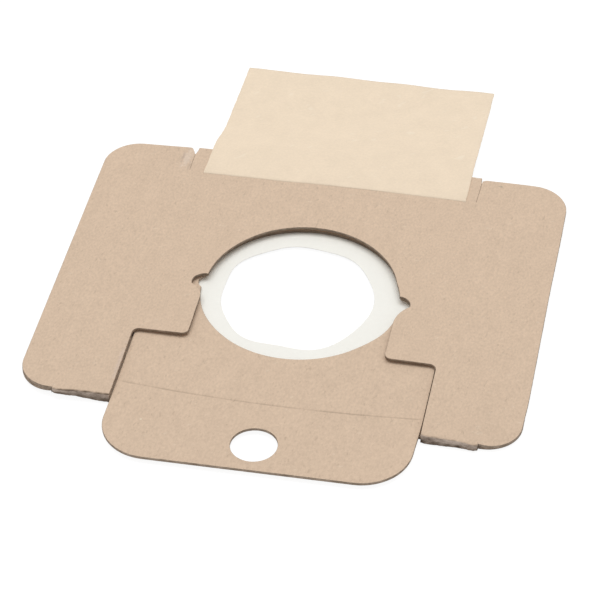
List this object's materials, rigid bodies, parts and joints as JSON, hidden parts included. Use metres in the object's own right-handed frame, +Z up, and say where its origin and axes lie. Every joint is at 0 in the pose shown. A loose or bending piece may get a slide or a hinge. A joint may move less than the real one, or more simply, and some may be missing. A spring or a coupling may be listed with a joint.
{
  "type": "vacuum dust bag collar",
  "caption": "Folded grey-board collar of a vacuum dust bag with a hose hole, a pale sealing membrane, a grip tab with a finger hole and a sheet of bag paper.",
  "frame": {"origin": "middle of the footprint, on the surface that the collar lies on", "axes": "+Z up out of the front leaf's face, +Y from the grip tab to the bag paper, +X to the right as seen from the grip tab"},
  "size_m": [0.13, 0.168, 0.0037],
  "materials": {
    "board": "matt speckled recycled grey board, darker and fibrous at its cut edges and folds",
    "membrane": "smooth satin cream latex sheet",
    "bag_paper": "matt fine-grained beige filter paper"
  },
  "bodies": {
    "root": {"collar_board": "board", "seal_membrane": "membrane", "bag_paper": "bag_paper"}
  },
  "joints": []
}
